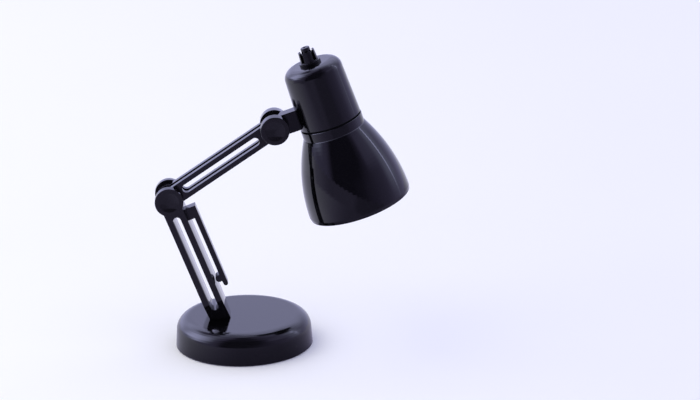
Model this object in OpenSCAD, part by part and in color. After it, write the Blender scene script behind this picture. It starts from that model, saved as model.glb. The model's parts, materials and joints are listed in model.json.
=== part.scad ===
// Small clip-on desk lamp: round weighted base, two slotted arms with disc joints,
// battery head with a bell shade, push switch on top and a spring clip on the lower arm.
// Millimetres, +Z up, origin at the centre of the base's underside.
// +X points from the elbow towards the head, and the lamp is drawn in its working pose.

/* [Pose] */
// Lean of the lower arm from upright, away from the head
lower_lean = 20.3; // [10:0.1:30]
// Rise of the upper arm above level
upper_rise = 33.17; // [25:0.01:50]
// Lean of the head from upright, mouth turned outwards
head_lean = 17.63; // [5:0.01:30]

/* [Base] */
// Outside diameter at the foot of the wall
base_d = 60; // [56:1:70]
// Height of the flat top above the table
base_h = 13.7; // [13:0.1:17]
// Rounding between the top and the wall
base_round = 6.2; // [3:0.1:7]
// Radius lost to mould draft over the full height
base_draft = 0.45; // [0.2:0.05:1]
// Wall of the cover
base_wall = 1.8; // [1.4:0.1:2.4]
// Height of the gap under the cover's edge
edge_gap = 0.3; // [0.2:0.1:0.6]
// Thickness of the foam pad that the lamp stands on
pad_t = 1; // [0.8:0.1:1.4]
// Thickness of the bottom plate
plate_t = 1.6; // [1.2:0.1:2]
// Thickness of the steel weight
weight_t = 4.6; // [3:0.1:5]
// Number of screws that hold the bottom plate
screw_count = 3; // [3:1:4]
// Distance of the plate screws from the centre
screw_ring = 20; // [19:0.5:21]
// Distance of the arm's foot from the centre, towards the elbow
foot_x = 10.3; // [9:0.1:12]

/* [Lower arm] */
// Length from the base's top to the elbow pivot
lower_len = 58.4; // [50:0.1:70]
// Width across both bars
lower_w = 8.6; // [8:0.1:9.4]
// Width of one bar
lower_bar = 2.6; // [2.2:0.1:3]
// Depth of the arm and of every joint, front to back
joint_w = 16.4; // [15.8:0.1:18]
// Distance of the slot's top end from the elbow pivot
lower_slot_top = 7.3; // [7:0.1:9]
// Distance of the slot's bottom end from the base's top
lower_slot_foot = 5; // [4.5:0.1:8]
// Length over which the foot narrows in depth
foot_taper_len = 8.5; // [7:0.1:10]
// Depth of the foot where it meets the base
foot_depth = 10.6; // [9.6:0.1:12]
// Length of the plug inside the base
plug_len = 8.2; // [7:0.1:8.6]
// How much the plug is set in from the foot on each side
plug_step = 0.5; // [0.3:0.1:0.8]
// Play of the plug in its socket, each side
plug_play = 0.08; // [0.05:0.01:0.1]
// Wall of the socket under the cover
socket_wall = 1.3; // [1:0.1:1.5]

/* [Elbow and head joints] */
// Radius of the elbow discs
elbow_r = 6.2; // [5.9:0.05:6.6]
// Radius of the head joint discs
head_disc_r = 6.25; // [5.9:0.05:6.6]
// Thickness of the back discs
back_disc_t = 2.6; // [2.2:0.1:3]
// Rounding of the disc edges
disc_edge = 0.5; // [0.3:0.05:0.8]
// Radius of the hollow in each front disc
dish_r = 4.4; // [3.5:0.1:5]
// Depth of the hollow in each front disc
dish_depth = 0.6; // [0.3:0.05:1]
// Radius of the joint screws' shanks
screw_r = 1.5; // [1.2:0.05:1.8]
// Running clearance of an arm on a joint screw
pin_play = 0.06; // [0.02:0.01:0.1]
// Thickness of the friction washers
washer_t = 0.5; // [0.3:0.05:0.6]
// Gap between faces that turn on each other
face_play = 0.05; // [0.02:0.01:0.1]

/* [Upper arm] */
// Length from pivot to pivot
upper_len = 55.54; // [50:0.02:65]
// Width across both bars
upper_w = 8; // [7.6:0.1:8.6]
// Width of one bar
upper_bar = 2.1; // [1.8:0.05:2.4]
// Thickness of the front plate
front_plate_t = 2.6; // [2.3:0.1:2.9]
// Thickness of the rear plate
rear_plate_t = 2.6; // [2.3:0.1:2.9]
// Gap between the two plates
plate_gap = 3; // [2.7:0.05:3.2]
// Distance of the slot's end from the elbow pivot
upper_slot_elbow = 7.3; // [7:0.1:9]
// Distance of the slot's end from the head pivot
upper_slot_head = 8.4; // [8.2:0.1:10]

/* [Clip] */
// Gap between the lower arm and the clip finger
clip_gap = 2.6; // [2.5:0.1:3.4]
// Thickness of the finger
clip_t = 2.3; // [2:0.05:2.7]
// Depth of the finger, front to back
clip_depth = 5; // [4:0.1:7]
// Distance of the block's top from the elbow pivot, along the arm
clip_top = 7; // [6.6:0.1:8]
// Height of the block that carries the finger
clip_block_h = 5.3; // [4.6:0.1:8]
// Distance of the finger's tip from the elbow pivot
clip_tip = 46.1; // [42:0.1:50]
// Radius of the gripping bead near the tip
bead_r = 1.6; // [1.2:0.1:1.7]
// Distance of the bead from the tip
bead_from_tip = 4.1; // [3.6:0.1:6]

/* [Head] */
// Distance from the head pivot to the head's axis
head_reach = 23.64; // [23:0.01:26]
// Height of the head pivot above the mouth, along the head
pivot_h = 45.22; // [44:0.01:47]
// Height of the tongue between the discs
tongue_h = 9; // [8:0.1:9.4]
// Length of the shade and its collar
shade_len = 39.4; // [38.5:0.1:40.5]
// Radius of the mouth
mouth_r = 22.88; // [21:0.02:25]
// Radius of the bell's curve
bell_curve_r = 73.5; // [70:0.5:90]
// Length of the straight collar above the bell
collar_len = 4.3; // [3:0.1:5]
// Radius of the collar
collar_r = 13.75; // [13.3:0.05:14]
// Wall of the shade
shade_wall = 1.3; // [1:0.1:1.6]
// Height of the dark seam between shade and housing
seam_h = 0.8; // [0.3:0.05:1]
// Length of the battery housing
housing_len = 26.55; // [26:0.05:31]
// Radius of the housing at the seam
housing_r = 13.6; // [13.1:0.05:14]
// Radius of the housing at its top, before the rounding
housing_top_r = 12.85; // [12.4:0.05:13.2]
// Rounding of the housing's top
housing_round = 4.5; // [3:0.1:5.5]
// Wall of the housing
housing_wall = 1.4; // [1.1:0.1:1.6]
// Length of the shade's neck inside the housing
neck_len = 3.9; // [3.6:0.1:4.8]

/* [Switch] */
// Radius of the button
button_r = 2; // [1.8:0.05:2.2]
// Height of the button above the housing
button_h = 7.4; // [6.8:0.1:9]
// Travel of the button
button_travel = 1; // [0.6:0.1:1.2]
// Radius of the crown's flange
crown_flange_r = 4.7; // [4.4:0.1:5.4]
// Thickness of the crown's flange
crown_flange_t = 1.1; // [0.8:0.1:1.6]
// Outside radius of the crown at its foot
crown_r = 3.95; // [3.7:0.05:4.2]
// Height of the crown above the housing
crown_h = 5.7; // [5:0.1:6]
// Number of prongs on the crown
prong_count = 4; // [3:1:6]
// Width of the notches between the prongs
prong_gap = 1.8; // [1.5:0.1:2.2]
// How far the prongs open outwards from the button at their tips
prong_flare = 0.95; // [0.7:0.05:1.1]
// Length of the part of the prongs that opens
prong_open = 3.3; // [2.5:0.1:3.6]

/* [Light and battery] */
// Diameter of one button cell
cell_d = 11.6; // [11.4:0.1:12]
// Height of one button cell
cell_h = 5.35; // [5:0.05:5.4]
// Number of cells in the stack
cell_count = 3; // [2:1:3]
// Thickness of the circuit board
board_t = 1; // [0.8:0.1:1.2]
// Diameter of the lamp's light-emitting dome
led_d = 5; // [4.8:0.1:5.4]
// Depth of the reflector bowl
bowl_depth = 13.4; // [11:0.1:15]
// Wall of the reflector bowl
bowl_wall = 0.8; // [0.6:0.1:1]

/* [Hidden] */
$fn = 72;
fine = 0.01;              // overshoot that keeps cuts clean
fit = 0.03;               // clearance of pieces that are pressed or glued together
arc_steps = 10;           // straight pieces in a quarter-round profile
bell_steps = 22;          // straight pieces in the bell's curve

// Places of the pivots and of the head's mouth
elbow = [-foot_x - lower_len * sin(lower_lean), 0, base_h + lower_len * cos(lower_lean)];
head_pivot = elbow + upper_len * [cos(upper_rise), 0, sin(upper_rise)];
head_up = [-sin(head_lean), 0, cos(head_lean)];
head_out = [cos(head_lean), 0, sin(head_lean)];
mouth = head_pivot + head_reach * head_out - pivot_h * head_up;

// Depths of what meets at the joints, counted from the lamp's middle plane
front_y = -joint_w / 2;
back_y = joint_w / 2;
upper_total = front_plate_t + plate_gap + rear_plate_t;
plate_front_y = -upper_total / 2;
plate_mid_y = plate_front_y + front_plate_t;
rear_front_y = plate_mid_y + plate_gap;
rear_back_y = rear_front_y + rear_plate_t;
back_disc_y = back_y - back_disc_t;
ear_y = plate_front_y - face_play - washer_t - face_play;   // inner face of the front ear
boss_y = rear_back_y + face_play + washer_t + face_play;     // inner face of the rear ear's boss
hub_r = 5.1;                                                 // round eyes of the upper arm
boss_r = 4.6;                                                // boss inside the rear ear
washer_r = 4.4;                                              // friction washers
eye_room = 0.4;                                              // gap round an eye in its fork
cheek_web = 0.55;                                             // plate left beside the head's tongue
cheek_inner_y = plate_front_y + cheek_web;
cheek_back_y = rear_back_y - cheek_web;
tongue_front_y = cheek_inner_y + face_play + washer_t + face_play;
tongue_back_y = cheek_back_y - face_play - washer_t - face_play;

// Screws of both joints
screw_head_r = 2.7;
screw_head_t = 1.3;
screw_head_sink = 0.4;
screw_grip = 2.6;

// Base
base_r = base_d / 2;
top_r = base_r - base_draft;
cover_in_r = base_r - base_wall - base_draft;
plate_z = pad_t;
weight_z = plate_z + plate_t;
pad_r = cover_in_r - 0.9;
plug_w = lower_w - 2 * plug_step;
plug_depth = foot_depth - 2 * plug_step;
cover_under = base_h - base_wall;
boss_out_r = 2.6;
base_screw_r = 1;
base_screw_head_r = 2;
base_screw_head_t = 0.9;
base_screw_len = 5.2;

// Clip, in the lower arm's own frame: x across the arm, z up along it
clip_x = lower_w / 2 + clip_gap;
clip_mid = clip_x + clip_t / 2;
clip_root_z = -(clip_top + clip_block_h);
bead_proud = 0.7;          // how far the bead's centre stands off the finger

// Head heights above the mouth, along the head's axis
neck_play = 0.08;
bell_len = shade_len - collar_len;
seam_z = shade_len;
housing_z = seam_z + seam_h;
top_z = housing_z + housing_len;
ceiling_z = top_z - housing_wall - 0.1;
cavity_r = housing_r - housing_wall;
neck_r = cavity_r - neck_play;
neck_in_r = neck_r - 1.2;
neck_top_z = shade_len + neck_len;
board_z = bell_len + 1.6;
board_r = neck_in_r - 0.1;
cell_z = neck_top_z + 0.4;
cell_top_z = cell_z + cell_count * cell_h;
contact_t = 0.4;
holder_in_r = cell_d / 2 + 0.12;
holder_wall = 1.3;
holder_z = neck_top_z + 0.25;
holder_top_z = cell_top_z + contact_t + 0.3;
switch_z = holder_top_z;
plunger_r = 1.5;
stem_z = switch_z + button_travel + 1.2;
switch_top_z = ceiling_z - 0.5;
button_foot_z = ceiling_z - 0.3;
button_play = 0.07;
crown_neck_r = 3.2;
prong_z = crown_flange_t + 0.3;  // foot of the prongs, above the housing's top
led_base_r = led_d / 2 + 0.45;
led_body_h = 5.6;
bowl_rim_z = board_z - 0.2 - bowl_depth;

// Outline helpers: lists of [radius, height] points
function arc_points(cx, cy, r, from, to, steps) =
    [for (i = [0:steps]) let (a = from + (to - from) * i / steps) [cx + r * cos(a), cy + r * sin(a)]];
function bell_r(z) = mouth_r - bell_curve_r + sqrt(bell_curve_r * bell_curve_r - z * z);

module in_lower() {
    translate(elbow) rotate([0, -lower_lean, 0]) children();
}
module in_upper() {
    translate(elbow) rotate([0, -upper_rise, 0]) children();
}
module in_head() {
    translate(mouth) rotate([0, -head_lean, 0]) children();
}
// A flat outline drawn in x and z, given a depth from y0 to y1
module slab(y0, y1) {
    translate([0, y1, 0]) rotate([90, 0, 0]) linear_extrude(y1 - y0) children();
}
// A round bar along y
module bar_y(x, z, r, y0, y1) {
    translate([x, y1, z]) rotate([90, 0, 0]) cylinder(r = r, h = y1 - y0);
}
// A disc along y whose front and back edges are rounded by ef and eb
module disc_y(x, z, r, y0, y1, ef, eb) {
    front = ef > 0 ? arc_points(r - ef, -ef, ef, 90, 0, 5) : [[r, 0]];
    back = eb > 0 ? arc_points(r - eb, -(y1 - y0) + eb, eb, 0, -90, 5) : [[r, -(y1 - y0)]];
    translate([x, y0, z]) rotate([90, 0, 0])
        rotate_extrude() polygon(concat([[0, 0]], front, back, [[0, -(y1 - y0)]]));
}
// A slot outline with round ends between two heights
module slot_z(x, z0, z1, w) {
    translate([x - w / 2, z0 + w / 2]) square([w, z1 - z0 - w]);
    translate([x, z0 + w / 2]) circle(d = w);
    translate([x, z1 - w / 2]) circle(d = w);
}
// The hollow in the middle of a front disc
module dish(x, z, y) {
    big = (dish_r * dish_r + dish_depth * dish_depth) / (2 * dish_depth);
    translate([x, y - big + dish_depth, z]) sphere(r = big, $fn = 96);
}
// A wire coil along z: one unbroken tube whose end turns lie flat
module coil(r0, r1, h, turns, wire, sides = 6, per_turn = 14) {
    n = turns * per_turn;
    function lift(t) = let (e = 0.12) t < e ? 0 : t > 1 - e ? 1 : (t - e) / (1 - 2 * e);
    pts = [for (i = [0:n], j = [0:sides - 1])
        let (t = i / n, a = 360 * turns * t, b = 360 * j / sides,
             r = r0 + (r1 - r0) * t + wire * cos(b), z = wire + (h - 2 * wire) * lift(t) + wire * sin(b))
        [r * cos(a), r * sin(a), z]];
    tris = [for (i = [0:n - 1], j = [0:sides - 1])
        let (a = i * sides + j, b = i * sides + (j + 1) % sides) each [[a, b, b + sides], [a, b + sides, a + sides]]];
    caps = [[for (j = [0:sides - 1]) sides - 1 - j], [for (j = [0:sides - 1]) n * sides + j]];
    polyhedron(concat(pts), concat(tris, caps));
}

// ---------------------------------------------------------------- base

module cover_outline(inset) {
    r = base_r - inset;
    rt = top_r - inset;
    rr = base_round - inset;
    polygon(concat([[0, edge_gap], [r - 0.3, edge_gap], [r, edge_gap + 0.3]],
        arc_points(rt - rr, base_h - inset - rr, rr, 0, 90, arc_steps), [[0, base_h - inset]]));
}
// The plug's prism, grown by a clearance, reaching above and below as asked
module plug_prism(grow, above, below) {
    in_lower() translate([-plug_w / 2 - grow, -plug_depth / 2 - grow, -lower_len - below])
        cube([plug_w + 2 * grow, plug_depth + 2 * grow, above + below]);
}
module base_screw_places() {
    for (i = [0:screw_count - 1])
        rotate([0, 0, 360 * i / screw_count]) translate([screw_ring, 0, 0]) children();
}
module base_cover() {
    color("#17171c") difference() {
        union() {
            difference() {
                rotate_extrude($fn = 144) cover_outline(0);
                translate([0, 0, -base_wall]) rotate_extrude($fn = 144) cover_outline_cavity();
            }
            base_screw_places() translate([0, 0, weight_z]) cylinder(r = boss_out_r, h = cover_under - weight_z + fine);
        }
        plug_prism(plug_play, base_h, plug_len);
        base_screw_places() translate([0, 0, weight_z - fine]) cylinder(r = base_screw_r + fit, h = base_screw_len + 0.8);
    }
}
module cover_outline_cavity() {
    polygon([[0, 0], [cover_in_r, 0], [cover_in_r, base_h - base_round + 0.6],
        [cover_in_r - 1.2, base_h - base_round + 3.2], [cover_in_r - 3.6, base_h - 1.1],
        [top_r - base_round - 0.6, base_h], [0, base_h]]);
}
module base_weight() {
    room = 0.4;
    half = (plug_w / 2 + plug_play + socket_wall) / cos(lower_lean) + room;
    left_x = -foot_x + (base_h - weight_z - weight_t) * tan(lower_lean) - half;
    right_x = -foot_x + (base_h - weight_z) * tan(lower_lean) + half;
    color("#5b5e63") translate([0, 0, weight_z]) difference() {
        cylinder(r = cover_in_r - 1.4, h = weight_t, $fn = 120);
        translate([left_x, -plug_depth / 2 - plug_play - socket_wall - room, -fine])
            cube([right_x - left_x, plug_depth + 2 * (plug_play + socket_wall + room), weight_t + 2 * fine]);
        base_screw_places() cylinder(r = boss_out_r + room, h = 3 * weight_t, center = true);
    }
}
module base_plate() {
    color("#1d1d20") difference() {
        translate([0, 0, plate_z]) cylinder(r = cover_in_r - 0.1, h = plate_t, $fn = 120);
        base_screw_places() {
            cylinder(r = base_screw_r + 0.1, h = 9);
            cylinder(r = base_screw_head_r + 0.15, h = plate_z + base_screw_head_t);
        }
    }
}
module base_pad() {
    color("#26262a") cylinder(r = pad_r, h = pad_t, $fn = 120);
}
module base_screws() {
    color("#9b9ca0") base_screw_places() difference() {
        union() {
            translate([0, 0, plate_z]) cylinder(r = base_screw_head_r, h = base_screw_head_t);
            translate([0, 0, plate_z + base_screw_head_t - fine]) cylinder(r = base_screw_r, h = base_screw_len);
        }
        for (a = [0, 90])
            rotate([0, 0, a]) translate([-1.2, -0.25, plate_z - fine]) cube([2.4, 0.5, 0.5]);
    }
}
// Sleeve under the cover that grips the arm's plug
module arm_socket() {
    color("#202024") difference() {
        intersection() {
            plug_prism(plug_play + socket_wall, base_h, base_h);
            translate([-base_r, -base_r, weight_z + 0.2]) cube([base_d, base_d, cover_under - weight_z - 0.2]);
        }
        plug_prism(plug_play, base_h, plug_len + plug_play);
    }
}

// ---------------------------------------------------------------- lower arm

module lower_outline() {
    difference() {
        union() {
            circle(r = elbow_r);
            translate([-lower_w / 2, -lower_len - lower_w]) square([lower_w, lower_len + lower_w]);
        }
        slot_z(0, -lower_len + lower_slot_foot, -lower_slot_top, lower_w - 2 * lower_bar);
    }
}
// Side view limits of the arm: full depth above, drawn in towards the foot
module foot_limits() {
    d0 = joint_w / 2 + 1;
    d1 = foot_depth / 2;
    z1 = -lower_len;
    z0 = z1 + foot_taper_len;
    slope = (joint_w / 2 - d1) / foot_taper_len;
    drop = lower_w;
    side = [[joint_w / 2, 2 * elbow_r], [joint_w / 2, z0], [d1 - slope * drop, z1 - drop]];
    rotate([90, 0, 90]) linear_extrude(6 * elbow_r, center = true)
        polygon(concat(side, [for (i = [2:-1:0]) [-side[i][0], side[i][1]]]));
}
module clip_block() {
    slab(-clip_depth / 2, clip_depth / 2) translate([lower_w / 2 - 1, clip_root_z])
        square([clip_gap + clip_t + 1, clip_block_h]);
}
module lower_arm() {
    color("#141418") difference() {
        union() {
            intersection() {
                in_lower() difference() {
                    intersection() {
                        slab(front_y, back_y) lower_outline();
                        foot_limits();
                    }
                    bar_y(0, 0, elbow_r + eye_room, ear_y, back_disc_y);
                }
                translate([-base_d, -base_d, base_h]) cube(2 * base_d);
            }
            plug_prism(0, 2, plug_len);
            in_lower() {
                clip_block();
                disc_y(0, 0, elbow_r, front_y, ear_y, disc_edge, 0);
                bar_y(0, 0, boss_r, boss_y, back_disc_y + fine);
            }
        }
        in_lower() {
            dish(0, 0, front_y);
            bar_y(0, 0, screw_r + fit, ear_y - screw_grip, back_y + fine);
            bar_y(0, 0, screw_head_r + 0.1, back_y - screw_head_sink - screw_head_t, back_y + fine);
        }
    }
}
// Flat-headed joint screw from the back, gripping the front piece
module joint_screw(end_y) {
    head_y = back_y - screw_head_sink - screw_head_t;
    difference() {
        union() {
            bar_y(0, 0, screw_r, end_y + 0.1, head_y + fine);
            bar_y(0, 0, screw_head_r, head_y, head_y + screw_head_t);
        }
        for (a = [0, 90])
            rotate([0, a, 0]) translate([-screw_head_r * 0.6, head_y + screw_head_t - 0.5, -0.3])
                cube([screw_head_r * 1.2, 1, 0.6]);
    }
}
module elbow_screw() {
    color("#a5a6aa") in_lower() joint_screw(ear_y - screw_grip);
}
// Ring washer between two turning faces
module washer(y) {
    difference() {
        bar_y(0, 0, washer_r, y, y + washer_t);
        bar_y(0, 0, screw_r + pin_play, y - fine, y + washer_t + fine);
    }
}
module elbow_washers() {
    color("#c9c6bd") in_lower() {
        washer(ear_y + face_play);
        washer(rear_back_y + face_play);
    }
}
// Spring finger with a gripping bead and a rounded tip
module clip_finger() {
    tip_z = -clip_tip;
    tip_r = clip_t / 2 - 0.15;
    bite = acos(bead_proud / bead_r);
    bead_z = tip_z + bead_from_tip;
    color("#141418") in_lower() slab(-clip_depth / 2, clip_depth / 2)
        polygon(concat([[clip_x, clip_root_z], [clip_x + clip_t, clip_root_z]],
            arc_points(clip_mid, tip_z + tip_r, tip_r, 0, -180, 12),
            arc_points(clip_x - bead_proud, bead_z, bead_r, -bite, bite - 360, 16)));
}

// ---------------------------------------------------------------- upper arm

module upper_outline(head_gap) {
    difference() {
        union() {
            circle(r = hub_r);
            translate([0, -upper_w / 2]) square([upper_len, upper_w]);
        }
        translate([upper_slot_elbow, 0]) rotate(-90)
            slot_z(0, 0, upper_len - upper_slot_elbow - upper_slot_head, upper_w - 2 * upper_bar);
        if (head_gap > 0) translate([upper_len, 0]) circle(r = head_gap);
    }
}
peg_r = 0.8;
standoff_r = 1.15;
peg_len = 1.7;
standoff_x = [(hub_r + upper_slot_elbow) / 2 - 0.6, upper_len - upper_slot_head + standoff_r + 0.15];

// Front plate with the front disc of the head joint
module upper_arm_front() {
    color("#141418") in_upper() difference() {
        union() {
            slab(plate_front_y, plate_mid_y) upper_outline(hub_r + eye_room);
            slab(plate_front_y, cheek_inner_y) upper_outline(0);
            disc_y(upper_len, 0, head_disc_r, front_y, cheek_inner_y, disc_edge, 0);
        }
        dish(upper_len, 0, front_y);
        bar_y(0, 0, screw_r + pin_play, plate_front_y - fine, plate_mid_y + fine);
        bar_y(upper_len, 0, screw_r + fit, cheek_inner_y - screw_grip, cheek_inner_y + fine);
        for (x = standoff_x)
            bar_y(x, 0, peg_r + fit, plate_mid_y - peg_len - 0.2, plate_mid_y + fine);
    }
}
// Rear plate with the back disc, the spacers and the pegs that hold the front plate
module upper_arm_rear() {
    color("#141418") in_upper() difference() {
        union() {
            slab(rear_front_y, rear_back_y) upper_outline(hub_r + eye_room);
            slab(cheek_back_y, rear_back_y) upper_outline(0);
            disc_y(upper_len, 0, head_disc_r, cheek_back_y, back_y, 0, disc_edge);
            bar_y(0, 0, hub_r - 1, plate_mid_y, rear_front_y + fine);
            for (x = standoff_x) {
                bar_y(x, 0, standoff_r, plate_mid_y, rear_front_y + fine);
                bar_y(x, 0, peg_r, plate_mid_y - peg_len, plate_mid_y + fine);
            }
        }
        bar_y(0, 0, screw_r + pin_play, plate_mid_y - fine, rear_back_y + fine);
        bar_y(upper_len, 0, screw_r + fit, cheek_back_y - fine, back_y + fine);
        bar_y(upper_len, 0, screw_head_r + 0.1, back_y - screw_head_sink - screw_head_t, back_y + fine);
    }
}
module head_screw() {
    color("#a5a6aa") in_upper() translate([upper_len, 0, 0]) joint_screw(cheek_inner_y - screw_grip);
}
module head_washers() {
    color("#c9c6bd") in_upper() translate([upper_len, 0, 0]) {
        washer(cheek_inner_y + face_play);
        washer(tongue_back_y + face_play);
    }
}

// ---------------------------------------------------------------- head

function wall_r(z) = housing_r + (housing_top_r - housing_r) * (z - housing_z) / housing_len;
module housing_outline(inset, z0) {
    rr = housing_round - inset;
    rt = housing_top_r - inset;
    polygon(concat([[0, z0], [wall_r(z0) - inset, z0]],
        arc_points(rt - rr, top_z - inset - rr, rr, 0, 90, arc_steps), [[0, top_z - inset]]));
}
module battery_housing() {
    color("#141418") in_head() difference() {
        union() {
            rotate_extrude($fn = 120) housing_outline(0, housing_z);
            tongue();
        }
        rotate_extrude($fn = 120) housing_outline(housing_wall, housing_z - 1);
        translate([0, 0, housing_z - 1]) cylinder(r = cavity_r, h = neck_len + 1, $fn = 120);
        cylinder(r = crown_neck_r + fit, h = 2 * top_z);
        translate([-head_reach, 0, pivot_h]) bar_y(0, 0, screw_r + pin_play, front_y, back_y);
    }
}
// Tongue from the housing's wall to the head pivot
module tongue() {
    slab(tongue_front_y, tongue_back_y) {
        translate([-head_reach, pivot_h]) circle(r = tongue_h / 2);
        translate([-head_reach, pivot_h - tongue_h / 2])
            square([head_reach - housing_top_r + 0.9, tongue_h]);
    }
}
module holder_ribs() {
    for (i = [0:3]) rotate([0, 0, 45 + 90 * i])
        translate([holder_in_r + 0.4, -0.7, holder_z])
            cube([wall_r(holder_top_z) - housing_wall - holder_in_r - 0.7, 1.4, holder_top_z - holder_z - 2]);
}
// Tube that holds the cells, ribbed to the housing, with a window to push them out
module battery_holder() {
    color("#dcdcd6") in_head() difference() {
        union() {
            translate([0, 0, holder_z]) cylinder(r = holder_in_r + holder_wall, h = holder_top_z - holder_z);
            holder_ribs();
        }
        translate([0, 0, holder_z - fine]) cylinder(r = holder_in_r, h = holder_top_z - holder_z + 2 * fine);
        translate([0, -2.6, holder_z + 2.4])
            cube([2 * holder_in_r, 5.2, holder_top_z - holder_z - 4.8]);
    }
}
module button_cells() {
    color("#c3c5c9") in_head() for (i = [0:cell_count - 1]) translate([0, 0, cell_z + i * cell_h])
        rotate_extrude() polygon([[0, 0], [cell_d / 2 - 1.1, 0], [cell_d / 2 - 1.0, 0.35],
            [cell_d / 2, 0.6], [cell_d / 2, cell_h - 0.3], [cell_d / 2 - 0.3, cell_h - fit],
            [0, cell_h - fit]]);
}
module contact_plate() {
    color("#c8a24a") in_head() translate([0, 0, cell_top_z]) difference() {
        cylinder(r = cell_d / 2 - 0.3, h = contact_t);
        for (i = [0:2]) rotate([0, 0, 120 * i]) translate([3.4, 0, -fine]) cylinder(r = 0.9, h = 1);
    }
}
module switch_body() {
    color("#e3e1d8") in_head() difference() {
        union() {
            translate([0, 0, switch_z]) cylinder(r = 4.6, h = switch_top_z - switch_z);
            translate([0, 0, switch_z]) cylinder(r = holder_in_r + holder_wall - 0.2, h = 0.9);
        }
        translate([0, 0, stem_z - button_travel - 0.2]) cylinder(r = plunger_r + 0.08, h = housing_len);
        translate([0, 0, button_foot_z - button_travel - 0.25]) cylinder(r = button_r + 0.1, h = housing_len);
    }
}
// Pronged collar that guides and guards the button
module switch_crown() {
    color("#141418") in_head() translate([0, 0, top_z]) difference() {
        union() {
            cylinder(r = crown_flange_r, h = crown_flange_t);
            cylinder(r1 = crown_r, r2 = crown_r - 0.4, h = crown_h);
            translate([0, 0, -housing_wall - 0.1]) cylinder(r = crown_neck_r, h = 2 * housing_wall);
        }
        translate([0, 0, -2 * housing_wall]) cylinder(r = button_r + button_play, h = 2 * crown_h);
        translate([0, 0, crown_h - prong_open])
            cylinder(r1 = button_r + button_play, r2 = button_r + prong_flare, h = prong_open + fine);
        for (i = [0:prong_count - 1]) rotate([0, 0, 360 * (i + 0.5) / prong_count])
            translate([0, -prong_gap / 2, prong_z]) cube([crown_flange_r, prong_gap, crown_h]);
    }
}
module switch_button() {
    button_top = top_z + button_h;
    color("#17171b") in_head() difference() {
        union() {
            translate([0, 0, button_foot_z]) rotate_extrude() polygon(concat([[0, 0], [button_r, 0]],
                arc_points(button_r - 0.35, button_top - button_foot_z - 0.35, 0.35, 0, 90, 4),
                [[0, button_top - button_foot_z]]));
            translate([0, 0, stem_z]) cylinder(r = plunger_r, h = button_foot_z - stem_z + fine);
        }
        translate([0, 0, button_top + 0.35]) sphere(r = 0.95, $fn = 48);
    }
}
// Bell shade with its collar and the neck that turns in the housing
module shade_outline() {
    outer = concat([for (i = [0:bell_steps]) let (z = bell_len * i / bell_steps) [bell_r(z), z]],
        [[collar_r, bell_len + 0.15], [collar_r, shade_len - 0.15], [collar_r - 0.15, shade_len]]);
    inner = [for (i = [bell_steps:-1:0]) let (z = (bell_len - 1.2) * i / bell_steps)
        [bell_r(z) - shade_wall, z]];
    polygon(concat([[bell_r(0) - 0.35, 0]], [for (i = [1:len(outer) - 1]) outer[i]],
        [[neck_r, shade_len], [neck_r, neck_top_z], [neck_in_r, neck_top_z], [neck_in_r, board_z],
         [led_base_r + 2, board_z], [led_base_r + 2, board_z - 1.3],
         [bell_r(bell_len - 1.2) - shade_wall - 1, board_z - 1.3]], inner));
}
module shade() {
    color("#141418") in_head() rotate_extrude($fn = 144) shade_outline();
}
module seam_ring() {
    color("#060608") in_head() translate([0, 0, seam_z]) difference() {
        cylinder(r = housing_r - 0.5, h = seam_h - face_play, $fn = 120);
        translate([0, 0, -fine]) cylinder(r = neck_r + fit, h = 2 * seam_h, $fn = 120);
    }
}
module led_board() {
    color("#1f6b3a") in_head() difference() {
        translate([0, 0, board_z]) cylinder(r = board_r, h = board_t, $fn = 96);
        for (x = [-1.27, 1.27]) translate([x, 0, board_z - fine]) cylinder(r = 0.45, h = 2 * board_t);
    }
}
module led() {
    lens_z = board_z - 0.6 - led_body_h;
    color("#f4f3e2") in_head() {
        translate([0, 0, board_z - 0.6 - 1]) cylinder(r = led_base_r, h = 1);
        translate([0, 0, lens_z]) cylinder(r = led_d / 2, h = led_body_h - fine);
        intersection() {
            translate([0, 0, lens_z]) sphere(d = led_d, $fn = 48);
            translate([-led_d, -led_d, lens_z - led_d]) cube([2 * led_d, 2 * led_d, led_d + fine]);
        }
        for (x = [-1.27, 1.27]) translate([x, 0, board_z - 0.7]) cylinder(r = 0.28, h = board_t + 1.3);
    }
}
module led_resistor() {
    color("#2a2a2c") in_head() translate([5.2, -0.8, board_z + board_t]) cube([3.2, 1.6, 0.6]);
}
module battery_spring() {
    color("#c8a24a") in_head() translate([0, 0, board_z + board_t + face_play])
        coil(3.4, 1.6, cell_z - board_z - board_t - 2 * face_play, 4, 0.3);
}
// Bright bowl round the light, held by the shade
module reflector() {
    rim_r = bell_r(bowl_rim_z) - shade_wall - 0.3;
    throat_r = led_base_r + 0.3;
    function bowl_r(t) = throat_r + (rim_r - 1.2 - throat_r) * sqrt(t);
    inside = [for (i = [0:12]) let (t = i / 12) [bowl_r(t), board_z - 1.5 - (bowl_depth - 2.5) * t]];
    color("#e4e6ea") in_head() rotate_extrude($fn = 96) polygon(concat(inside,
        [[rim_r - 0.4, bowl_rim_z], [rim_r, bowl_rim_z], [rim_r, bowl_rim_z + 0.8]],
        [for (i = [12:-1:1]) inside[i] + [bowl_wall, bowl_wall * 0.6]],
        [[throat_r + bowl_wall, board_z - 1.4]]));
}

base_cover();
base_weight();
base_plate();
base_pad();
base_screws();
arm_socket();
lower_arm();
elbow_screw();
elbow_washers();
clip_finger();
upper_arm_front();
upper_arm_rear();
head_screw();
head_washers();
battery_housing();
battery_holder();
button_cells();
contact_plate();
switch_body();
switch_crown();
switch_button();
shade();
seam_ring();
led_board();
led();
led_resistor();
battery_spring();
reflector();
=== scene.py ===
import json
import math

import bmesh
import bpy
from mathutils import Matrix, Vector


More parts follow.
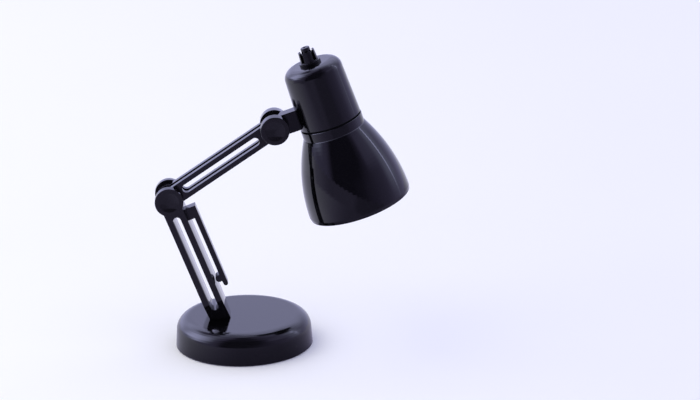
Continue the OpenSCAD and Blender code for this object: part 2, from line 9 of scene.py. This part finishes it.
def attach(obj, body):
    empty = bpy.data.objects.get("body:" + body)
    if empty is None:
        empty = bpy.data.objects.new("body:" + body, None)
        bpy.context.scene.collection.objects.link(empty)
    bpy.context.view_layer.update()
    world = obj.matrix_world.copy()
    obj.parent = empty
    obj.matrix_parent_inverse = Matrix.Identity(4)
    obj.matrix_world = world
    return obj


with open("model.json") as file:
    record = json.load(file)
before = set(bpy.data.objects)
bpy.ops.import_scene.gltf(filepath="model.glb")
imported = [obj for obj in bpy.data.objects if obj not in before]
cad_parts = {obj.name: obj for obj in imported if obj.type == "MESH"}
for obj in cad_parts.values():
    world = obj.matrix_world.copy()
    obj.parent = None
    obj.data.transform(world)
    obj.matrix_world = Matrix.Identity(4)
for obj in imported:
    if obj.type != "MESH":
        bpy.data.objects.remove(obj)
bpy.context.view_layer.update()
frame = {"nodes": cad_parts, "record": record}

NODES = frame["nodes"]
scene = bpy.context.scene
MM = 0.001

# ------------------------------------------------------------------ camera
cam_data = bpy.data.cameras.new("view")
cam_data.lens = 154.3
cam_data.sensor_width = 36.0
cam_data.sensor_fit = "HORIZONTAL"
cam_data.clip_start = 0.05
cam_data.clip_end = 50.0
cam = bpy.data.objects.new("view", cam_data)
scene.collection.objects.link(cam)
right = Vector((0.99845, -0.05198, -0.01992))
up = Vector((0.03495, 0.30684, 0.95111))
back = Vector((-0.04332, -0.95034, 0.30818))
place = Matrix((right, up, back)).transposed().to_4x4()
place.translation = Vector((-8.713, -1239.117, 466.171)) * MM
cam.matrix_world = place
scene.camera = cam

# ------------------------------------------------------------------ helpers for nodes


def math_node(tree, operation, a, b=None):
    n = tree.nodes.new("ShaderNodeMath")
    n.operation = operation
    for value, socket in ((a, n.inputs[0]), (b, n.inputs[1])):
        if hasattr(value, "links"):
            tree.links.new(value, socket)
        elif value is not None:
            socket.default_value = value
    return n.outputs[0]


def rescale(tree, value, start, end, low=0.0, high=1.0, kind="LINEAR"):
    """Goes from low at start to high at end and stays there; start may be the larger number."""
    if end < start:
        start, end, low, high = end, start, high, low
    n = tree.nodes.new("ShaderNodeMapRange")
    n.interpolation_type = kind
    for field, number in (("From Min", start), ("From Max", end), ("To Min", low), ("To Max", high)):
        n.inputs[field].default_value = number
    tree.links.new(value, n.inputs["Value"])
    return n.outputs["Result"]


def soft_step(tree, value, start, end, low=0.0, high=1.0):
    return rescale(tree, value, start, end, low, high, "SMOOTHSTEP")


# ------------------------------------------------------------------ materials


class Net:
    """A small helper that writes a material's nodes in order."""

    def __init__(self, name):
        self.mat = bpy.data.materials.new(name)
        self.mat.use_nodes = True
        self.tree = self.mat.node_tree
        self.shader = self.tree.nodes["Principled BSDF"]
        self.coord = self.node("ShaderNodeTexCoord")
        self.place = self.coord.outputs["Object"]

    def node(self, kind, **values):
        n = self.tree.nodes.new(kind)
        for key, value in values.items():
            setattr(n, key, value)
        return n

    def link(self, a, b):
        self.tree.links.new(a, b)

    def set(self, **values):
        for key, value in values.items():
            name = key.replace("_", " ")
            for s in self.shader.inputs:
                if s.name.lower() == name.lower():
                    s.default_value = value

    def noise(self, scale, detail=3.0, rough=0.5, stretch=None):
        n = self.node("ShaderNodeTexNoise")
        n.inputs["Scale"].default_value = scale
        n.inputs["Detail"].default_value = detail
        n.inputs["Roughness"].default_value = rough
        where = self.place
        if stretch:
            m = self.node("ShaderNodeMapping")
            m.inputs["Scale"].default_value = stretch
            self.link(where, m.inputs["Vector"])
            where = m.outputs["Vector"]
        self.link(where, n.inputs["Vector"])
        return n.outputs["Fac"]

    def ramp(self, source, stops):
        r = self.node("ShaderNodeValToRGB")
        e = r.color_ramp.elements
        e[0].position, e[0].color = stops[0][0], self.rgba(stops[0][1])
        e[1].position, e[1].color = stops[-1][0], self.rgba(stops[-1][1])
        for pos, col in stops[1:-1]:
            e.new(pos).color = self.rgba(col)
        self.link(source, r.inputs["Fac"])
        return r.outputs["Color"]

    @staticmethod
    def rgba(c):
        return (c, c, c, 1.0) if isinstance(c, (int, float)) else (*c, 1.0)

    def mix(self, fac, a, b):
        m = self.node("ShaderNodeMix", data_type="RGBA")
        self.link(fac, m.inputs[0])
        for value, index in ((a, 6), (b, 7)):
            if hasattr(value, "links"):
                self.link(value, m.inputs[index])
            else:
                m.inputs[index].default_value = self.rgba(value)
        return m.outputs[2]

    def bump(self, source, distance, strength=1.0, normal=None):
        b = self.node("ShaderNodeBump")
        b.inputs["Distance"].default_value = distance
        b.inputs["Strength"].default_value = strength
        self.link(source, b.inputs["Height"])
        if normal:
            self.link(normal, b.inputs["Normal"])
        return b.outputs["Normal"]

    def bevel(self, radius):
        b = self.node("ShaderNodeBevel", samples=6)
        b.inputs["Radius"].default_value = radius
        return b.outputs["Normal"]

    def finish(self, color=None, rough=None, normal=None):
        if color is not None:
            self.link(color, self.shader.inputs["Base Color"])
        if rough is not None:
            self.link(rough, self.shader.inputs["Roughness"])
        if normal is not None:
            self.link(normal, self.shader.inputs["Normal"])
        return self.mat


def gloss_black(name, rough=(0.09, 0.2), tint=(0.0012, 0.0012, 0.0016), edge=0.00018, peel=0.0000025,
                barrel=0.0, worn=None):
    n = Net(name)
    n.set(ior=1.5)
    smear = n.noise(140.0, 4.0, 0.6, (1.0, 1.0, 0.35))
    dust = n.noise(5200.0, 2.0, 0.6)
    specks = n.ramp(dust, [(0.0, tint), (0.735, tint), (0.78, (0.022, 0.022, 0.026))])
    finish = n.ramp(smear, [(0.3, rough[0]), (0.75, rough[1])])
    if worn:   # (upper height, lower height, extra roughness): the shoulder is duller from handling
        level = n.node("ShaderNodeSeparateXYZ")
        n.link(n.place, level.inputs[0])
        duller = rescale(n.tree, level.outputs["Z"], worn[0], worn[1], 0.0, worn[2])
        finish = math_node(n.tree, "ADD", finish, duller)
    waves = n.bump(n.noise(420.0, 1.0), peel, 1.0, n.bevel(edge))
    if barrel:   # mould draft: sides fall off towards the front and the back
        depth = n.node("ShaderNodeSeparateXYZ")
        n.link(n.place, depth.inputs[0])
        square = math_node(n.tree, "MULTIPLY", depth.outputs["Y"], depth.outputs["Y"])
        waves = n.bump(square, -barrel, 1.0, waves)
    return n.finish(specks, finish, waves)


def matt(name, color, rough=0.55, grain=0.00003, scale=2600.0, metallic=0.0, edge=0.0001, spread=0.12):
    n = Net(name)
    n.set(metallic=metallic)
    cloud = n.noise(scale * 0.08, 3.0)
    low = tuple(c * (1.0 - spread) for c in color)
    high = tuple(min(1.0, c * (1.0 + spread)) for c in color)
    tone = n.ramp(cloud, [(0.3, low), (0.7, high)])
    finish = n.ramp(n.noise(scale * 0.3), [(0.3, rough * 0.85), (0.7, min(1.0, rough * 1.15))])
    bumps = n.bump(n.noise(scale, 2.0), grain, 0.6, n.bevel(edge))
    return n.finish(tone, finish, bumps)


ARM_ROUGH, ARM_TINT, ARM_EDGE = (0.05, 0.1), (0.0042, 0.0039, 0.005), 0.00022
MATS = {
    "base_gloss": gloss_black("base_gloss", rough=(0.09, 0.14), worn=(0.01355, 0.0128, 0.035)),
    "arm_gloss": gloss_black("arm_gloss", ARM_ROUGH, ARM_TINT, ARM_EDGE, barrel=5.0),
    "clip_gloss": gloss_black("clip_gloss", ARM_ROUGH, ARM_TINT, ARM_EDGE, barrel=15.0),
    "head_gloss": gloss_black("head_gloss", rough=(0.06, 0.13)),
    "shade_gloss": gloss_black("shade_gloss", rough=(0.03, 0.07), edge=0.00011),
    "switch_gloss": gloss_black("switch_gloss", rough=(0.2, 0.34), edge=0.00015),
    "seam_dark": matt("seam_dark", (0.004, 0.004, 0.005), 0.6),
    "plate_black": matt("plate_black", (0.012, 0.012, 0.014), 0.5),
    "pad_foam": matt("pad_foam", (0.02, 0.02, 0.023), 0.9, 0.0001, 1800.0),
    "weight_steel": matt("weight_steel", (0.42, 0.43, 0.45), 0.38, 0.00001, 900.0, 1.0),
    "screw_steel": matt("screw_steel", (0.3, 0.3, 0.315), 0.34, 0.00001, 1500.0, 1.0),
    "washer_nylon": matt("washer_nylon", (0.02, 0.02, 0.022), 0.45),
    "holder_white": matt("holder_white", (0.75, 0.75, 0.72), 0.45),
    "switch_cream": matt("switch_cream", (0.76, 0.73, 0.66), 0.45),
    "cell_steel": matt("cell_steel", (0.68, 0.68, 0.7), 0.2, 0.000006, 700.0, 1.0),
    "contact_brass": matt("contact_brass", (0.78, 0.58, 0.26), 0.25, 0.000006, 900.0, 1.0),
    "board_green": matt("board_green", (0.03, 0.17, 0.07), 0.35),
    "chip_black": matt("chip_black", (0.03, 0.03, 0.032), 0.5),
    "led_clear": matt("led_clear", (0.9, 0.88, 0.62), 0.08, 0.000002, 700.0),
    "bowl_silver": matt("bowl_silver", (0.82, 0.83, 0.85), 0.12, 0.000008, 900.0, 1.0),
}
MATS["seam_dark"].node_tree.nodes["Principled BSDF"].inputs["Specular IOR Level"].default_value = 0.0
SLOT_OF = {s["node"]: s["material_slot"] for s in frame["record"]["subparts"]}
for name, obj in NODES.items():
    mat = MATS[SLOT_OF[name]]
    if not obj.material_slots:
        obj.data.materials.append(mat)
    for s in obj.material_slots:
        s.material = mat

# ------------------------------------------------------------------ piece that only the picture has
HEAD_LEAN = math.radians(17.63)
SHADE_RIM = Vector((52.154, 0.0, 62.924))   # where the head's axis starts, mm
HEAD_LONG = 66.75                           # from there to the top of the housing, mm
HEAD_TOP = SHADE_RIM + HEAD_LONG * Vector((-math.sin(HEAD_LEAN), 0.0, math.cos(HEAD_LEAN)))


def lathe(name, outline, mat, segments=48):
    """A ring turned about the head's axis; outline is a closed list of (radius, height above the housing)."""
    bm = bmesh.new()
    loops = [[bm.verts.new((r * math.cos(2 * math.pi * k / segments), r * math.sin(2 * math.pi * k / segments), z))
              for r, z in outline] for k in range(segments)]
    for k in range(segments):
        a, b = loops[k], loops[(k + 1) % segments]
        for i in range(len(outline)):
            j = (i + 1) % len(outline)
            bm.faces.new((a[i], b[i], b[j], a[j]))
    bmesh.ops.recalc_face_normals(bm, faces=bm.faces[:])
    bm.transform(Matrix.Scale(MM, 4) @ Matrix.Translation(HEAD_TOP) @ Matrix.Rotation(-HEAD_LEAN, 4, "Y"))
    mesh = bpy.data.meshes.new(name)
    bm.to_mesh(mesh)
    bm.free()
    mesh.materials.append(mat)
    obj = bpy.data.objects.new(name, mesh)
    scene.collection.objects.link(obj)
    return obj


# Soft sleeve between the button and the prongs; it keeps dirt out of the switch
button_boot = lathe("button_boot", [(2.04, 2.7), (2.1, 2.7), (2.66, 4.85), (2.5, 4.95), (2.04, 4.6)],
                    matt("boot_rubber", (0.012, 0.012, 0.014), 0.7, 0.00002, 3000.0, 0.0, 0.00004))
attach(button_boot, "head")

# ------------------------------------------------------------------ stage
# What gloss sees is a studio of a few soft panels round the lamp. Directions are in degrees from the camera's side,
# positive to the right. Heights are the sine of the elevation. A panel is (brightness, edges by direction, edges by
# height): two numbers rise and stay, four rise and fall, None has no limit.
BOTH_SIDES = [
    (0.92, (55, 165), None),                                      # wall behind, the same on the left and the right
    (0.52, (75, 165), (0.36, 0.56, 0.90, 1.00)),                  # its lit upper part
    (0.54, (75, 165), (0.62, 0.80, 0.88, 1.00)),                  # the top of it
]
ONE_SIDE = [
    (3.20, (-135, -100, -97, -58), (0.06, 0.28, 0.50, 1.02)),     # large soft box on the left
    (0.90, (-92, -80, -74, -56), (0.36, 0.56, 0.62, 0.84)),       # its front upper corner
    (0.75, (-176, -140, -95, -80), (-0.10, 0.20, 0.62, 0.80)),    # wall lit by it
    (0.40, (-100, -85, -58, -34), None),                          # left fill
    (-1.30, (-160, -140, -112, -100), (0.64, 0.80, 0.87, 0.95)),  # black flag over the soft box
    (0.26, (12, 62, 95, 125), None),                              # right fill
    (0.07, (-25, 15, 25, 50), (-2, -1, 0.10, 0.55)),              # glow low in front
    (0.20, (38, 54, 72, 98), (0.34, 0.54, 0.66, 0.82)),           # its upper part
    (0.50, (78, 96, 104, 124), (0.02, 0.28, 0.60, 0.80)),         # white board on the right
    (2.50, (101.3, 102.6, 104.8, 106), (-0.05, 0.50, 0.65, 1.05)),  # narrow strip light
    (0.08, None, (0.66, 0.86)),                                   # ceiling
]
# The table as gloss sees it, dim in front and lit from the left and from behind: brightness in front and
# (what is added, from one direction to another)
TABLE_NEAR = (0.24, [(0.62, (40, 150)), (0.62, (0, -95))])
TABLE_FAR = (0.16, [(0.20, (40, 90)), (0.64, (105, 150)), (0.11, (8, -6)), (0.28, (-45, -85)), (0.45, (-82, -98))])
# Dim places are bluer than bright ones: (dim, bright)
ROOM_TINT = ((1.15, 1.0, 1.95), (0.98, 1.0, 1.55))
TABLE_TINT = ((1.12, 1.0, 1.80), (1.0, 1.0, 1.27))
DIM, BRIGHT, DARKEST = 0.1, 1.0, 0.045


def compass(tree, vector):
    """Direction in degrees from the camera's side, and height."""
    n = tree.nodes.new("ShaderNodeSeparateXYZ")
    tree.links.new(vector, n.inputs[0])
    turned = math_node(tree, "ARCTAN2", n.outputs["X"], math_node(tree, "MULTIPLY", n.outputs["Y"], -1.0))
    return math_node(tree, "DEGREES", turned), n.outputs["Z"]


def panels(tree, total, rows, direction, height):
    """Adds the soft panels of rows to total."""
    for level, across, tall in rows:
        part = level
        for value, edges in ((direction, across), (height, tall)):
            if edges is None:
                continue
            part = math_node(tree, "MULTIPLY", soft_step(tree, value, edges[0], edges[1]), part)
            if len(edges) == 4:
                part = math_node(tree, "MULTIPLY", soft_step(tree, value, edges[3], edges[2]), part)
        total = math_node(tree, "ADD", part, total)
    return total


def table_light(tree, plan, direction):
    total, rows = plan
    for level, (start, end) in rows:
        total = math_node(tree, "ADD", soft_step(tree, direction, start, end, 0.0, level), total)
    return total


def tinted(tree, brightness, tint):
    mix = tree.nodes.new("ShaderNodeMix")
    mix.data_type = "RGBA"
    tree.links.new(soft_step(tree, brightness, DIM, BRIGHT), mix.inputs[0])
    for color, index in zip(tint, (6, 7)):
        mix.inputs[index].default_value = (*color, 1.0)
    scaled = tree.nodes.new("ShaderNodeVectorMath")
    scaled.operation = "SCALE"
    tree.links.new(mix.outputs[2], scaled.inputs[0])
    tree.links.new(brightness, scaled.inputs["Scale"])
    return scaled.outputs[0]


TABLE_RADIUS = 4.0   # m
bm = bmesh.new()
bmesh.ops.create_circle(bm, cap_ends=True, segments=96, radius=TABLE_RADIUS)
mesh = bpy.data.meshes.new("table_top")
bm.to_mesh(mesh)
bm.free()
table_top = bpy.data.objects.new("table_top", mesh)
scene.collection.objects.link(table_top)
n = Net("paper")
n.set(roughness=0.9, specular_ior_level=0.0)
across = n.node("ShaderNodeSeparateXYZ")
n.link(n.place, across.inputs[0])
# Painted light: the paper's colour is lighter on the left and darker on the right, standing in for the falloff of
# the left lamp across the table.
tone = n.ramp(rescale(n.tree, across.outputs["X"], -0.14, 0.20),
              [(0.0, (0.93, 0.935, 0.985)), (0.5, (0.912, 0.914, 0.985)), (1.0, (0.888, 0.89, 0.97))])
fibre = n.ramp(n.noise(5.0), [(0.3, 0.992), (0.7, 1.0)])
span = n.node("ShaderNodeVectorMath", operation="LENGTH")
n.link(n.place, span.inputs[0])
radius = span.outputs["Value"]
painted_lift_near_lamp = soft_step(n.tree, radius, 0.03, 0.22, 1.035, 1.0)   # painted light: the paper is made a little lighter around the lamp, lifting the shade the lamp casts there
fibre_and_painted_lift = n.node("ShaderNodeVectorMath", operation="SCALE")
n.link(fibre, fibre_and_painted_lift.inputs[0])
n.link(painted_lift_near_lamp, fibre_and_painted_lift.inputs["Scale"])
blend = n.node("ShaderNodeMix", data_type="RGBA", blend_type="MULTIPLY")
blend.inputs[0].default_value = 1.0
n.link(tone, blend.inputs[6])
n.link(fibre_and_painted_lift.outputs[0], blend.inputs[7])
n.finish(blend.outputs[2])
out = n.tree.nodes["Material Output"]
# Painted reflection: in gloss rays the table shows this emission, set by direction from the lamp, in place of its
# lit paper.
painted_table_reflection = n.node("ShaderNodeEmission")
direction, _ = compass(n.tree, n.place)
seen = n.node("ShaderNodeMix", data_type="FLOAT")
n.link(rescale(n.tree, radius, 0.24, 0.30), seen.inputs[0])
n.link(table_light(n.tree, TABLE_NEAR, direction), seen.inputs[2])
n.link(table_light(n.tree, TABLE_FAR, direction), seen.inputs[3])
close = rescale(n.tree, radius, 0.032, 0.075, 0.65, 1.0)   # darker in gloss where the base shades the table
n.link(close, painted_table_reflection.inputs["Strength"])
n.link(tinted(n.tree, seen.outputs[0], TABLE_TINT), painted_table_reflection.inputs["Color"])
path = n.node("ShaderNodeLightPath")
pick = n.node("ShaderNodeMixShader")
n.link(path.outputs["Is Glossy Ray"], pick.inputs[0])
n.link(n.shader.outputs[0], pick.inputs[1])
n.link(painted_table_reflection.outputs[0], pick.inputs[2])
n.link(pick.outputs[0], out.inputs["Surface"])
table_top.data.materials.append(n.mat)

world = bpy.data.worlds.new("room")
scene.world = world
world.use_nodes = True
wt = world.node_tree


def wnode(kind):
    return wt.nodes.new(kind)


coord = wnode("ShaderNodeTexCoord")
direction, height = compass(wt, coord.outputs["Generated"])
seen = panels(wt, 0.0, BOTH_SIDES, math_node(wt, "ABSOLUTE", direction), height)
seen = panels(wt, seen, ONE_SIDE, direction, height)
seen = tinted(wt, math_node(wt, "MAXIMUM", seen, DARKEST), ROOM_TINT)
path = wnode("ShaderNodeLightPath")
shown = wt.nodes["Background"]
wt.links.new(seen, shown.inputs["Color"])
plain = wnode("ShaderNodeBackground")
plain.inputs["Color"].default_value = (0.895, 0.908, 1.125, 1.0)
fade = rescale(wt, height, 0.75, 0.92, 1.16, 0.24)   # the fill comes from the sides more than from overhead
wt.links.new(fade, plain.inputs["Strength"])
pale = wnode("ShaderNodeBackground")
pale.inputs["Color"].default_value = (0.90, 0.90, 0.97, 1.0)
first = wnode("ShaderNodeMixShader")
wt.links.new(path.outputs["Is Glossy Ray"], first.inputs[0])
wt.links.new(plain.outputs[0], first.inputs[1])
wt.links.new(shown.outputs[0], first.inputs[2])
second = wnode("ShaderNodeMixShader")
wt.links.new(path.outputs["Is Camera Ray"], second.inputs[0])
wt.links.new(first.outputs[0], second.inputs[1])
wt.links.new(pale.outputs[0], second.inputs[2])
wt.links.new(second.outputs[0], wt.nodes["World Output"].inputs["Surface"])


def lamp(name, place, aim, size, power, color=(1.0, 1.0, 1.0)):
    data = bpy.data.lights.new(name, "AREA")
    data.shape = "RECTANGLE"
    data.size, data.size_y = size
    data.energy = power
    data.color = color
    obj = bpy.data.objects.new(name, data)
    scene.collection.objects.link(obj)
    obj.location = place
    obj.rotation_euler = (Vector(aim) - Vector(place)).to_track_quat("-Z", "Y").to_euler()
    return obj


key = lamp("left_box", (-1.05, 0.06, 1.3), (0.0, 0.0, 0.05), (2.0, 2.0), 12.0, (1.0, 0.97, 0.55))
key.visible_glossy = False

scene.view_settings.view_transform = "Standard"
